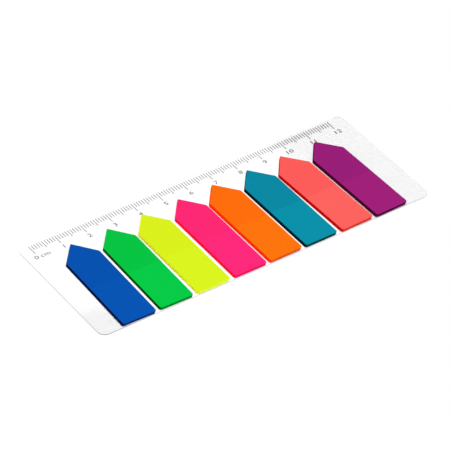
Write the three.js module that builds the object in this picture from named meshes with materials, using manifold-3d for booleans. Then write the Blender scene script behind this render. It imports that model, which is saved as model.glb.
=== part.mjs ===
// Sticky index tabs: eight stacks of arrow-shaped film tabs laid side by side on a clear
// plastic card, which has a millimetre scale printed along its far edge and doubles as a ruler.
// Millimetres, +Z up. The origin is the middle of the card's underside, +X runs along the
// scale towards its high end and +Y towards the edge that carries the scale.

import * as THREE from "three";
import { mergeVertices } from "three/addons/utils/BufferGeometryUtils.js";
import Module from "manifold-3d";

// The stacks of tabs, which stand side by side with their points towards the scale
const tabLength = 44;
const tabWidth = 12.5;
const tabPointLength = 8;
const shoulderRadius = 1.2;
const tailRadius = 0.8;
const stackHeight = 1;
const stackGap = 1.6;

// From left to right, as they were laid by hand: the shift is how far a stack sits to the right
// of its even spacing, and the lean is how many degrees its tail is turned to the right.
const stacks = [
  { name: "blue", colour: 0x0153b2, shift: -0.1, lean: -1.4 },
  { name: "green", colour: 0x01c844, shift: 0, lean: -1.3 },
  { name: "yellow", colour: 0xdaf31c, shift: -0.1, lean: -0.2 },
  { name: "pink", colour: 0xfe2777, shift: 0.2, lean: -0.1 },
  { name: "orange", colour: 0xfd7107, shift: 0, lean: 0.3 },
  { name: "teal", colour: 0x048ca6, shift: 0, lean: 0.3 },
  { name: "coral", colour: 0xfd605c, shift: 0, lean: 1.4 },
  { name: "purple", colour: 0x9c1c79, shift: 0, lean: 1.2 },
];

// The card, which is as large as its row of stacks and the bare strips round them
const leftStrip = 9;
const rightStrip = 9.8;
const scaleStrip = 8.6;
const tailStrip = 0.2;
const cardThickness = 0.25;
const cardCornerRadius = 3;

// The scale, printed in ink that stands a little proud of the card. It has as many whole units
// as the card is long enough for.
const scaleEndMargin = 4;
const scaleEdgeMargin = 1;
const markPitch = 1;
const marksPerHalf = 5;
const marksPerUnit = 10;
const markLength = 2.5;
const halfMarkLength = 3.5;
const unitMarkLength = 4.4;
const markWidth = 0.2;
const inkHeight = 0.02;

const stackPitch = tabWidth + stackGap;
const rowLength = stacks.length * stackPitch - stackGap;
const cardLength = leftStrip + rowLength + rightStrip;
const cardWidth = tailStrip + tabLength + scaleStrip;
const firstStackX = leftStrip + tabWidth / 2 - cardLength / 2;
const rowY = tailStrip + tabLength / 2 - cardWidth / 2;
const unitLength = markPitch * marksPerUnit;
const scaleUnits = Math.floor((cardLength - 2 * scaleEndMargin) / unitLength);
const scaleZeroX = scaleEndMargin - cardLength / 2;
const scaleTopY = cardWidth / 2 - scaleEdgeMargin;

const wasm = await Module();
wasm.setup();

// A closed geometry as a solid that can be joined to others.
function solidFrom(geometry) {
  const bare = geometry.clone();
  bare.deleteAttribute("normal");
  bare.deleteAttribute("uv");
  const merged = mergeVertices(bare);
  return new wasm.Manifold(
    new wasm.Mesh({
      numProp: 3,
      vertProperties: merged.attributes.position.array,
      triVerts: new Uint32Array(merged.index.array),
    }),
  );
}

// A joined solid as a geometry with flat faces.
function geometryFrom(solid) {
  const { vertProperties, triVerts } = solid.getMesh();
  const joined = new THREE.BufferGeometry();
  joined.setAttribute("position", new THREE.BufferAttribute(vertProperties, 3));
  joined.setIndex(new THREE.BufferAttribute(triVerts, 1));
  const faceted = joined.toNonIndexed();
  faceted.computeVertexNormals();
  return faceted;
}

// The outline through the corners, anticlockwise, each rounded to its own radius or left sharp.
function roundedOutline(corners) {
  const outline = new THREE.Shape();
  corners.forEach(({ x, y, radius }, i) => {
    const corner = new THREE.Vector2(x, y);
    const before = corners[(i + corners.length - 1) % corners.length];
    const after = corners[(i + 1) % corners.length];
    const back = new THREE.Vector2(before.x, before.y).sub(corner).normalize();
    const ahead = new THREE.Vector2(after.x, after.y).sub(corner).normalize();
    const halfAngle = Math.acos(back.dot(ahead)) / 2;
    const reach = radius / Math.tan(halfAngle);
    const start = corner.clone().addScaledVector(back, reach);
    if (i === 0) outline.moveTo(start.x, start.y);
    else outline.lineTo(start.x, start.y);
    if (radius > 0) {
      const end = corner.clone().addScaledVector(ahead, reach);
      const inward = back.clone().add(ahead).normalize();
      const centre = corner.clone().addScaledVector(inward, radius / Math.sin(halfAngle));
      const from = Math.atan2(start.y - centre.y, start.x - centre.x);
      const to = Math.atan2(end.y - centre.y, end.x - centre.x);
      outline.absarc(centre.x, centre.y, radius, from, to, false);
    }
  });
  outline.closePath();
  return outline;
}

// One clear sheet with round corners.
function cardSheet() {
  const right = cardLength / 2;
  const far = cardWidth / 2;
  const outline = roundedOutline([
    { x: right, y: far, radius: cardCornerRadius },
    { x: -right, y: far, radius: cardCornerRadius },
    { x: -right, y: -far, radius: cardCornerRadius },
    { x: right, y: -far, radius: cardCornerRadius },
  ]);
  return new THREE.ExtrudeGeometry(outline, {
    depth: cardThickness,
    bevelEnabled: false,
    curveSegments: 10,
  });
}

// One mark of the scale as a ridge of ink, rooted at half the card's thickness.
function scaleMark(i) {
  let length = markLength;
  if (i % marksPerHalf === 0) length = halfMarkLength;
  if (i % marksPerUnit === 0) length = unitMarkLength;
  const bottom = cardThickness / 2;
  const top = cardThickness + inkHeight;
  const mark = new THREE.BoxGeometry(markWidth, length, top - bottom);
  mark.translate(scaleZeroX + i * markPitch, scaleTopY - length / 2, (top + bottom) / 2);
  return mark;
}

// The card with its printed scale as one solid.
function rulerCard() {
  let card = solidFrom(cardSheet());
  const lastMark = scaleUnits * marksPerUnit;
  for (let i = 0; i <= lastMark; i += 1) {
    card = card.add(solidFrom(scaleMark(i)));
  }
  return geometryFrom(card);
}

// A stack of equal tabs as one block, pointed towards the scale. Its origin is the middle of
// its underside.
function tabStack() {
  const side = tabWidth / 2;
  const tip = tabLength / 2;
  const shoulder = tip - tabPointLength;
  const outline = roundedOutline([
    { x: 0, y: tip, radius: 0 },
    { x: -side, y: shoulder, radius: shoulderRadius },
    { x: -side, y: -tip, radius: tailRadius },
    { x: side, y: -tip, radius: tailRadius },
    { x: side, y: shoulder, radius: shoulderRadius },
  ]);
  return new THREE.ExtrudeGeometry(outline, {
    depth: stackHeight,
    bevelEnabled: false,
    curveSegments: 6,
  });
}

const indexTabs = new THREE.Group();

const clearPlastic = new THREE.MeshStandardMaterial({
  color: 0xf2f5f5,
  roughness: 0.15,
  metalness: 0,
  transparent: true,
  opacity: 0.35,
});
const card = new THREE.Mesh(rulerCard(), clearPlastic);
card.name = "ruler_card";
indexTabs.add(card);

stacks.forEach(({ name, colour, shift, lean }, i) => {
  const film = new THREE.MeshStandardMaterial({ color: colour, roughness: 0.45, metalness: 0 });
  const stack = new THREE.Mesh(tabStack(), film);
  stack.name = `${name}_tab_stack`;
  stack.position.set(firstStackX + i * stackPitch + shift, rowY, cardThickness);
  stack.rotation.z = THREE.MathUtils.degToRad(lean);
  indexTabs.add(stack);
});

export default indexTabs;
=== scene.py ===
# Sticky index tabs: eight stacks of arrow-shaped film tabs on a clear plastic card, which is
# also a ruler, lying on a white table. Metres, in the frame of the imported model.

import random
from math import atan2, pi, radians, sin

import bmesh
import bpy
from mathutils import Matrix, Quaternion, Vector


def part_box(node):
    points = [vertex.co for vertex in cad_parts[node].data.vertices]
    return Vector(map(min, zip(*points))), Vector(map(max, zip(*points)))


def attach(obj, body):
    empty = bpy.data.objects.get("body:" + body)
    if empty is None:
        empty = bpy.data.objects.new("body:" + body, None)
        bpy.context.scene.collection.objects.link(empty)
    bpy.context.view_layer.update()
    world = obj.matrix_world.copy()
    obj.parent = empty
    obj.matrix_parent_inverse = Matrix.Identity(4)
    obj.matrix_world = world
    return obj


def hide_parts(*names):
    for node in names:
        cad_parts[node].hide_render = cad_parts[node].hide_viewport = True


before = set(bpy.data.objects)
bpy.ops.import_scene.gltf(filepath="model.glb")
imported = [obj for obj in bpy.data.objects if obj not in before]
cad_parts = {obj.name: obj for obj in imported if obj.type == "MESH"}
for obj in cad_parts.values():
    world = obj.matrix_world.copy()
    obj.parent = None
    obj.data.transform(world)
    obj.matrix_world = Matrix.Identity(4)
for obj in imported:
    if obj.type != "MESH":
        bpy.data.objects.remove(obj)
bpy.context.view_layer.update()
mm = 0.001

# The camera, which looks down along the card from beyond its near left corner through a long
# lens, so that the card's edges stay almost parallel. Its values were fitted to the photograph.
camera_place = Vector((-514.6, -774.0, 755.8)) * mm
aim_point = Vector((-0.88, -1.11, -0.05)) * mm
camera_roll = radians(-0.28)
lens_length = 288.9
sensor_width = 36.0

camera_data = bpy.data.cameras.new("camera")
camera_data.sensor_width = sensor_width
camera_data.lens = lens_length
camera_data.clip_start = 0.05
camera_data.clip_end = 50.0
camera = bpy.data.objects.new("camera", camera_data)
camera.location = camera_place
camera.rotation_mode = "QUATERNION"
level_turn = (aim_point - camera_place).to_track_quat("-Z", "Y")
camera.rotation_quaternion = level_turn @ Quaternion((0, 0, 1), camera_roll)
scene = bpy.context.scene
scene.collection.objects.link(camera)
scene.camera = camera
scene.view_settings.view_transform = "Standard"


# The studio: pale walls low down all round and a dim ceiling, with one wide soft light above
# the table, a little to its front and right.
class Tone:
    """An output in a tree of shader nodes. Arithmetic on it adds Math nodes."""

    def __init__(self, tree, socket=None):
        self.tree = tree
        self.socket = socket

    def node(self, kind, settings=None, inputs=None, output=0):
        """A new node of this tree, as the Tone of one of its outputs."""
        made = self.tree.nodes.new(kind)
        for name, value in (settings or {}).items():
            setattr(made, name, value)
        for name, value in (inputs or {}).items():
            if isinstance(value, Tone):
                self.tree.links.new(value.socket, made.inputs[name])
            else:
                made.inputs[name].default_value = value
        return Tone(self.tree, made.outputs[output])

    def math(self, operation, *values):
        return self.node("ShaderNodeMath", {"operation": operation}, dict(enumerate(values)))

    def __add__(self, other):
        return self.math("ADD", self, other)

    def __sub__(self, other):
        return self.math("SUBTRACT", self, other)

    def __mul__(self, other):
        return self.math("MULTIPLY", self, other)

    def __rsub__(self, other):
        return self.math("SUBTRACT", other, self)

    __radd__ = __add__
    __rmul__ = __mul__

    def step(self, start, end, low=0.0, high=1.0):
        """Smoothly from low, where this is at start, to high, where it is at end."""
        settings = {"interpolation_type": "SMOOTHSTEP"}
        span = {"Value": self, "From Min": start, "From Max": end, "To Min": low, "To Max": high}
        return self.node("ShaderNodeMapRange", settings, span)

    def mix(self, low, high):
        """The colour low where this is 0 and high where it is 1."""
        settings = {"data_type": "RGBA"}
        return self.node("ShaderNodeMix", settings, {0: self, 6: low, 7: high}, output=2)

    def feed(self, shader, name):
        self.tree.links.new(self.socket, shader.inputs[name])


wall_top = sin(radians(12))
ceiling_edge = sin(radians(20))
wall_brightness = 1.0
ceiling_brightness = 0.12
light_strength = 0.86
light_width = radians(50)
light_tilt = (radians(4), radians(6), 0)

world = bpy.data.worlds.new("studio")
world.use_nodes = True
scene.world = world
room = Tone(world.node_tree)
direction = room.node("ShaderNodeTexCoord", output="Generated")
height = room.node("ShaderNodeSeparateXYZ", inputs={"Vector": direction}, output="Z")
brightness = height.step(wall_top, ceiling_edge, wall_brightness, ceiling_brightness)
brightness.feed(world.node_tree.nodes["Background"], "Strength")
world.node_tree.nodes["Background"].inputs["Color"].default_value = (1, 1, 1, 1)

light_data = bpy.data.lights.new("soft_light", "SUN")
light_data.energy = light_strength * pi
light_data.angle = light_width
light = bpy.data.objects.new("soft_light", light_data)
light.rotation_euler = light_tilt
scene.collection.objects.link(light)


# The table that the card lies on, matt white. To the camera, and in reflections, most of its
# white is its own, so that the shadows on it stay as faint as in a bright studio.
def new_finish(name, fixed):
    """A material of one Principled shader, whose fixed sockets are the same all over."""
    material = bpy.data.materials.new(name)
    material.use_nodes = True
    shader = material.node_tree.nodes["Principled BSDF"]
    for socket, value in fixed.items():
        shader.inputs[socket].default_value = value
    return material, shader, Tone(material.node_tree)


def new_piece(name, mesh_work, materials):
    """An object at the origin, made of the bmesh."""
    mesh = bpy.data.meshes.new(name)
    mesh_work.to_mesh(mesh)
    mesh_work.free()
    for material in materials:
        mesh.materials.append(material)
    piece = bpy.data.objects.new(name, mesh)
    scene.collection.objects.link(piece)
    return piece


table_reach = 3.0
table_gap = 0.02 * mm
own_white = 0.85

table_white, table_shader, table_tone = new_finish(
    "table_white",
    {"Base Color": (0.97, 0.97, 0.97, 1), "Roughness": 0.9, "Specular IOR Level": 0.0},
)
path = table_tone.node("ShaderNodeLightPath", output="Is Camera Ray")
for ray in ("Is Glossy Ray", "Is Transmission Ray"):
    path = path + table_tone.node("ShaderNodeLightPath", output=ray)
lit = Tone(table_tone.tree, table_shader.outputs["BSDF"])
glow = table_tone.node("ShaderNodeEmission", inputs={"Strength": 1.0})
table_look = table_tone.node("ShaderNodeMixShader", inputs={0: path * own_white, 1: lit, 2: glow})
table_look.feed(table_tone.tree.nodes["Material Output"], "Surface")

table_work = bmesh.new()
bmesh.ops.create_grid(table_work, x_segments=1, y_segments=1, size=table_reach)
bmesh.ops.translate(table_work, verts=table_work.verts, vec=(0, 0, -table_gap))
table = new_piece("table", table_work, [table_white])

# The ruler card: one sheet of clear plastic, punched out with round corners. Its cut edges are
# painted grey as painted shade, most of all at the left. Its right end and its near left corner
# are painted a little grey, a painted reflection of darker surroundings, with faint smears.
card_thickness = 0.25 * mm
card_edge_round = 0.015 * mm
same_place = 0.001 * mm
nearly_flat = radians(0.5)
facing = 0.3
plastic_ior = 1.49
clear_colour = (0.93, 0.93, 0.93, 1)
reflection_and_smear_grey = (0.815, 0.815, 0.815, 1)
cut_dark = (0.04, 0.04, 0.04, 1)
cut_pale = (0.12, 0.12, 0.12, 1)

# Where its painted grey reflection begins and where it is at its greyest, and where the painted
# shade of its cut edges begins to fade and where it has faded, to the right.
painted_reflection_from = 30 * mm
painted_reflection_to = 44 * mm
corner_from_x = -52 * mm
corner_to_x = -60 * mm
corner_from_y = -4 * mm
corner_to_y = -20 * mm
edge_shade_from = -52 * mm
edge_shade_to = -44 * mm


def cad_underside(node):
    """A bmesh of one face, the outline of the underside of a CAD node."""
    work = bmesh.new()
    work.from_mesh(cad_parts[node].data)
    bmesh.ops.remove_doubles(work, verts=work.verts, dist=same_place)
    lowest = min(vert.co.z for vert in work.verts)
    others = [face for face in work.faces if face.calc_center_median().z > lowest + same_place]
    bmesh.ops.delete(work, geom=others, context="FACES")
    bmesh.ops.dissolve_faces(work, faces=work.faces[:])
    bmesh.ops.dissolve_limit(work, angle_limit=nearly_flat, verts=work.verts, edges=work.edges)
    return work


def raise_face(work, face, rise):
    """Extrude the face upwards and return the face that is now on top. The shape stays open
    where the old face was."""
    grown = bmesh.ops.extrude_face_region(work, geom=[face])["geom"]
    bmesh.ops.delete(work, geom=[face], context="FACES_ONLY")
    corners = [item for item in grown if isinstance(item, bmesh.types.BMVert)]
    bmesh.ops.translate(work, verts=corners, vec=(0, 0, rise))
    return next(item for item in grown if isinstance(item, bmesh.types.BMFace))


card_work = cad_underside("ruler_card")
raise_face(card_work, card_work.faces[:][0], card_thickness)
bmesh.ops.holes_fill(card_work, edges=card_work.edges)
bmesh.ops.recalc_face_normals(card_work, faces=card_work.faces)
rims = [
    edge for edge in card_work.edges if abs(edge.verts[0].co.z - edge.verts[1].co.z) < same_place
]
bmesh.ops.bevel(
    card_work,
    geom=rims,
    offset=card_edge_round,
    segments=2,
    profile=0.5,
    affect="EDGES",
    material=-1,
)
for face in card_work.faces:
    if face.normal.z > facing:
        face.material_index = 0
    elif face.normal.z < -facing:
        face.material_index = 1
    else:
        face.material_index = 2


def clear_finish(name, gloss, grey_patch_cover):
    """The plastic of one side of the sheet. Gloss is how much of its shine covers what lies
    below, and the second value is how much its grey patches do, a painted reflection with smears."""
    plastic, shader, tone = new_finish(name, {"IOR": plastic_ior, "Specular IOR Level": 0.5})
    place = tone.node("ShaderNodeTexCoord", output="Object")
    across = tone.node("ShaderNodeSeparateXYZ", inputs={"Vector": place}, output="X")
    along = tone.node("ShaderNodeSeparateXYZ", inputs={"Vector": place}, output="Y")
    smear_place = tone.node("ShaderNodeMapping", inputs={"Vector": place, "Scale": (30, 90, 1)})
    smears = tone.node("ShaderNodeTexNoise", inputs={"Vector": smear_place, "Scale": 1.0})
    right_end = across.step(painted_reflection_from, painted_reflection_to)
    left_end = across.step(corner_from_x, corner_to_x)
    near_corner = left_end * along.step(corner_from_y, corner_to_y)
    # Greyer at the card's right end and near left corner: a painted reflection, with random smears
    # on top.
    painted_reflection_and_smears = right_end * 0.8 + near_corner * 1.05 + smears * 0.12 - 0.03
    painted_reflection_and_smears.mix(clear_colour, reflection_and_smear_grey).feed(shader, "Base Color")
    shine = tone.node("ShaderNodeFresnel", inputs={"IOR": plastic_ior})
    (shine * gloss + painted_reflection_and_smears * grey_patch_cover + 0.03).feed(shader, "Alpha")
    (painted_reflection_and_smears * 0.2 + 0.12).feed(shader, "Roughness")
    scratch_place = tone.node(
        "ShaderNodeMapping",
        inputs={"Vector": place, "Rotation": (0, 0, radians(20)), "Scale": (120, 5000, 1)},
    )
    scratches = tone.node("ShaderNodeTexNoise", inputs={"Vector": scratch_place, "Scale": 1.0})
    tone.node(
        "ShaderNodeBump",
        inputs={"Strength": 0.05, "Distance": 0.005 * mm, "Height": scratches},
    ).feed(shader, "Normal")
    return plastic


clear_top = clear_finish("clear_plastic", gloss=0.8, grey_patch_cover=0.05)
clear_underside = clear_finish("clear_underside", gloss=0.0, grey_patch_cover=0.8)

cut_edge, cut_shader, cut_tone = new_finish("cut_edge", {"Specular IOR Level": 0.2})
cut_place = cut_tone.node("ShaderNodeTexCoord", output="Object")
nicks = cut_tone.node("ShaderNodeTexNoise", inputs={"Vector": cut_place, "Scale": 700.0})
nicks.mix(cut_dark, cut_pale).feed(cut_shader, "Base Color")
cut_across = cut_tone.node("ShaderNodeSeparateXYZ", inputs={"Vector": cut_place}, output="X")
# The cut edges are painted more opaque and greyer towards the left: painted shade.
painted_edge_shade = cut_across.step(edge_shade_from, edge_shade_to, low=0.95, high=0.5)
mirrored = cut_tone.node("ShaderNodeFresnel", inputs={"IOR": plastic_ior})
((1 - mirrored) * painted_edge_shade).feed(cut_shader, "Alpha")
(0.35 + nicks * 0.3).feed(cut_shader, "Roughness")

card = new_piece("card_sheet", card_work, [clear_top, clear_underside, cut_edge])
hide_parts("ruler_card")
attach(card, "root")

# The scale: 121 millimetre marks of thin grey ink, printed on the card along its far edge. The
# ink is thin enough to let a little light through, and not quite even.
ink_lift = 0.002 * mm
ink_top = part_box("ruler_card")[1].z
ink_dark = (0.04, 0.04, 0.045, 1)
ink_pale = (0.09, 0.09, 0.095, 1)

marks_work = bmesh.new()
marks_work.from_mesh(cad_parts["ruler_card"].data)
bmesh.ops.remove_doubles(marks_work, verts=marks_work.verts, dist=same_place)
below_tops = [
    face for face in marks_work.faces if face.calc_center_median().z < ink_top - same_place
]
bmesh.ops.delete(marks_work, geom=below_tops, context="FACES")
bmesh.ops.dissolve_limit(
    marks_work, angle_limit=nearly_flat, verts=marks_work.verts, edges=marks_work.edges
)
grown = bmesh.ops.extrude_face_region(marks_work, geom=marks_work.faces[:])["geom"]
lower_corners = [item for item in grown if isinstance(item, bmesh.types.BMVert)]
bmesh.ops.translate(
    marks_work, verts=lower_corners, vec=(0, 0, card_thickness + ink_lift - ink_top)
)
bmesh.ops.holes_fill(marks_work, edges=marks_work.edges)
bmesh.ops.recalc_face_normals(marks_work, faces=marks_work.faces)

ink, ink_shader, ink_tone = new_finish("grey_ink", {"Specular IOR Level": 0.3})
ink_place = ink_tone.node("ShaderNodeTexCoord", output="Object")
ink_grain = ink_tone.node(
    "ShaderNodeTexNoise", inputs={"Vector": ink_place, "Scale": 1500.0, "Detail": 3.0}
)
ink_grain.mix(ink_dark, ink_pale).feed(ink_shader, "Base Color")
ink_grain.step(0.3, 0.7, low=0.82, high=0.95).feed(ink_shader, "Alpha")
ink_grain.step(0.3, 0.7, low=0.4, high=0.6).feed(ink_shader, "Roughness")

marks = new_piece("scale_marks", marks_work, [ink])
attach(marks, "root")

# The figures 0 to 12, printed in the same ink below the marks that they count. The 0 stands a
# little to the left of its mark, which leaves room for the letters cm.
figure_size = 2.6 * mm
figure_widening = 1.2
stroke_thinning = 0.01 * mm
figure_y = 18.23 * mm
zero_x = -61.0 * mm
unit = 10 * mm
zero_shift = -0.6 * mm
letters_x = 2.75 * mm
last_figure = 12
stroke_merge = 0.0005 * mm


def print_words(words, middle):
    """The words as flat ink, in a mesh whose first line stands on the line of the figures."""
    text = bpy.data.curves.new(f"text_{words}", "FONT")
    text.body = words
    text.size = figure_size
    text.align_x = "CENTER"
    text.resolution_u = 3
    text.offset = -stroke_thinning
    text.extrude = (ink_top - card_thickness - ink_lift) / 2
    holder = bpy.data.objects.new(f"text_{words}", text)
    scene.collection.objects.link(holder)
    bpy.context.view_layer.update()
    shown = holder.evaluated_get(bpy.context.evaluated_depsgraph_get())
    flat = bpy.data.meshes.new_from_object(shown)
    bpy.data.objects.remove(holder)
    height = (ink_top + card_thickness + ink_lift) / 2
    wider = Matrix.Diagonal((figure_widening, 1, 1, 1))
    flat.transform(Matrix.Translation((middle, figure_y, height)) @ wider)
    return flat


figures_work = bmesh.new()
words_at = {"cm": zero_x + letters_x}
for count in range(last_figure + 1):
    words_at[str(count)] = zero_x + count * unit + (zero_shift if count == 0 else 0)
for words, middle in words_at.items():
    figures_work.from_mesh(print_words(words, middle))
bmesh.ops.remove_doubles(figures_work, verts=figures_work.verts, dist=stroke_merge)
figures = new_piece("scale_figures", figures_work, [ink])
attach(figures, "root")

# The stacks of tabs: pads of 25 sheets of coloured plastic film, die-cut to an arrow and slipped
# a little to the left at the bottom. They stick by the half towards the point, where the glue
# makes the film a touch darker. The cut edges are much deeper in colour than the face, partly the
# film's own colour and partly painted shade: the near end and the flanks are painted different
# shades for the light that falls on them.
sheets_per_stack = 25
stack_lift = 0.005 * mm
sheet_edge_round = 0.008 * mm
sheet_groove = 0.012 * mm
sheet_slide = 0.02 * mm
glue_end = -1.4 * mm
glue_blur = 0.25 * mm
end_blur = 0.5 * mm
level_face = 0.99
side_face_corners = 8
brightest = 0.98
cloud_scale = 140.0
grain_scale = 3500.0
layer_scale = (150, 150, 30000)

# How much light falls on a stack's top, its near end and its flanks, where 1 is full, and how
# strongly the cut edges glow in their own colour, a painted glow for light the film carries to
# them.
top_light = 1.03
end_light = 0.6
flank_light = 0.5
painted_edge_glow = 0.15

# Each film: its top's colour where glued and where free, the colours of its near end and its
# flanks with their painted shade, and how far its pile slips to the left at the bottom.
films = {
    "blue": {
        "glued": (1, 81, 175),
        "free": (1, 84, 180),
        "end": (10, 38, 92),
        "flank": (0, 12, 51),
        "slip": 0.4 * mm,
    },
    "green": {
        "glued": (1, 196, 66),
        "free": (1, 203, 70),
        "end": (0, 111, 32),
        "flank": (0, 60, 0),
        "slip": 0.29 * mm,
    },
    "yellow": {
        "glued": (219, 241, 26),
        "free": (218, 245, 29),
        "end": (188, 199, 38),
        "flank": (193, 194, 36),
        "slip": 0.28 * mm,
    },
    "pink": {
        "glued": (254, 38, 116),
        "free": (254, 39, 122),
        "end": (189, 12, 80),
        "flank": (217, 8, 40),
        "slip": 0.32 * mm,
    },
    "orange": {
        "glued": (254, 109, 6),
        "free": (253, 116, 7),
        "end": (181, 71, 18),
        "flank": (225, 38, 0),
        "slip": 0.5 * mm,
    },
    "teal": {
        "glued": (4, 136, 162),
        "free": (4, 144, 170),
        "end": (0, 42, 51),
        "flank": (0, 17, 25),
        "slip": 0.43 * mm,
    },
    "coral": {
        "glued": (253, 92, 89),
        "free": (253, 99, 94),
        "end": (176, 41, 32),
        "flank": (156, 0, 0),
        "slip": 0.46 * mm,
    },
    "purple": {
        "glued": (152, 27, 120),
        "free": (160, 29, 121),
        "end": (65, 0, 51),
        "flank": (57, 0, 32),
        "slip": 0.5 * mm,
    },
}


def film_colour(shade, light_on_it):
    """A colour that looks like the shade, which is written as on a screen, in that much light."""
    linear = []
    for level in shade:
        share = level / 255
        bare = share / 12.92 if share <= 0.04045 else ((share + 0.055) / 1.055) ** 2.4
        linear.append(min(bare / light_on_it, brightest))
    return (*linear, 1)


def shape_stack(node, slip):
    """The stack's mesh, whose lowest sheet has slipped to the left, with the middle of its
    underside and the angle that it leans at."""
    work = cad_underside(node)
    side = max(work.edges, key=lambda edge: edge.calc_length())
    rise = side.verts[1].co - side.verts[0].co
    if rise.y < 0:
        rise = -rise
    lean = atan2(-rise.x, rise.y)
    bmesh.ops.rotate(work, verts=work.verts, cent=(0, 0, 0), matrix=Matrix.Rotation(-lean, 3, "Z"))
    xs = [vert.co.x for vert in work.verts]
    ys = [vert.co.y for vert in work.verts]
    middle = Vector(((min(xs) + max(xs)) / 2, (min(ys) + max(ys)) / 2, 0))
    half_width = (max(xs) - min(xs)) / 2
    half_length = (max(ys) - min(ys)) / 2
    floor = work.verts[:][0].co.z
    bmesh.ops.translate(work, verts=work.verts, vec=(-middle.x, -middle.y, stack_lift))

    top_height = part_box(node)[1].z
    sheet = (top_height - floor - stack_lift) / sheets_per_stack
    narrow = Vector((1 - sheet_groove / half_width, 1 - sheet_groove / half_length, 1))
    widen = Vector((1 / narrow.x, 1 / narrow.y, 1))
    face = work.faces[:][0]
    bmesh.ops.scale(work, verts=work.verts, vec=narrow)
    slid = Vector((-slip, 0, 0))
    bmesh.ops.translate(work, verts=work.verts, vec=slid)
    for count in range(sheets_per_stack):
        below_top = 1 - (count + 1) / sheets_per_stack
        slide = Vector((random.uniform(-1, 1), random.uniform(-1, 1), 0)) * sheet_slide
        slide.x -= slip * below_top
        face = raise_face(work, face, sheet_edge_round)
        bmesh.ops.translate(work, verts=face.verts, vec=-slid)
        bmesh.ops.scale(work, verts=face.verts, vec=widen)
        bmesh.ops.translate(work, verts=face.verts, vec=slide)
        face = raise_face(work, face, sheet - 2 * sheet_edge_round)
        face = raise_face(work, face, sheet_edge_round)
        bmesh.ops.translate(work, verts=face.verts, vec=-slide)
        bmesh.ops.scale(work, verts=face.verts, vec=narrow)
        bmesh.ops.translate(work, verts=face.verts, vec=slide)
        slid = slide
    bmesh.ops.holes_fill(work, edges=work.edges)
    bmesh.ops.recalc_face_normals(work, faces=work.faces)
    for item in work.faces:
        is_sheet = abs(item.normal.z) > level_face and len(item.verts) > side_face_corners
        item.material_index = 0 if is_sheet else 1
    bmesh.ops.translate(work, verts=work.verts, vec=middle)
    bmesh.ops.rotate(work, verts=work.verts, cent=(0, 0, 0), matrix=Matrix.Rotation(lean, 3, "Z"))
    middle.rotate(Matrix.Rotation(lean, 3, "Z"))
    return work, middle, lean, half_length


def own_places(tone, middle, lean):
    """Places on a stack, counted from its middle and turned with it."""
    place = tone.node("ShaderNodeTexCoord", output="Object")
    return tone.node(
        "ShaderNodeMapping",
        {"vector_type": "TEXTURE"},
        {"Vector": place, "Location": middle, "Rotation": (0, 0, lean)},
    )


def film_finishes(name, shades, middle, lean, half_length):
    """The finishes of a stack's top sheet and of its cut edges."""
    face, face_shader, tone = new_finish(f"{name}_film", {"Specular IOR Level": 0.05})
    own_place = own_places(tone, middle, lean)
    up = tone.node("ShaderNodeSeparateXYZ", inputs={"Vector": own_place}, output="Y")
    glued = up.step(glue_end - glue_blur, glue_end + glue_blur)
    cloud = tone.node(
        "ShaderNodeTexNoise", inputs={"Vector": own_place, "Scale": cloud_scale, "Detail": 2.0}
    )
    grain = tone.node(
        "ShaderNodeTexNoise", inputs={"Vector": own_place, "Scale": grain_scale, "Detail": 2.0}
    )
    glued_colour = film_colour(shades["glued"], top_light)
    free_colour = film_colour(shades["free"], top_light)
    shift = glued + (cloud - 0.5) * 0.5 + (grain - 0.5) * 0.2
    shift.mix(free_colour, glued_colour).feed(face_shader, "Base Color")
    (0.33 + (grain - 0.5) * 0.15).feed(face_shader, "Roughness")
    tone.node(
        "ShaderNodeBump", inputs={"Strength": 0.15, "Distance": 0.01 * mm, "Height": grain}
    ).feed(face_shader, "Normal")

    # The cut edges glow a little in their own colour: painted light.
    edge, edge_shader, tone = new_finish(
        f"{name}_film_edge", {"Specular IOR Level": 0.03, "Emission Strength": painted_edge_glow}
    )
    own_place = own_places(tone, middle, lean)
    up = tone.node("ShaderNodeSeparateXYZ", inputs={"Vector": own_place}, output="Y")
    # The near end and the flanks get different shades of the edge colour: painted light and shade.
    at_end = up.step(-half_length + end_blur, -half_length)
    end_colour = film_colour(shades["end"], end_light)
    flank_colour = film_colour(shades["flank"], flank_light)
    edge_colour = at_end.mix(flank_colour, end_colour)
    edge_colour.feed(edge_shader, "Base Color")
    edge_colour.feed(edge_shader, "Emission Color")
    layer_place = tone.node(
        "ShaderNodeMapping", inputs={"Vector": own_place, "Scale": layer_scale}
    )
    layers = tone.node("ShaderNodeTexNoise", inputs={"Vector": layer_place, "Scale": 1.0})
    (0.45 + layers * 0.2).feed(edge_shader, "Roughness")
    return [face, edge]


random.seed(25)
for name, shades in films.items():
    node = f"{name}_tab_stack"
    work, middle, lean, half_length = shape_stack(node, shades["slip"])
    finishes = film_finishes(name, shades, middle, lean, half_length)
    stack = new_piece(f"{name}_tabs", work, finishes)
    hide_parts(node)
    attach(stack, "root")
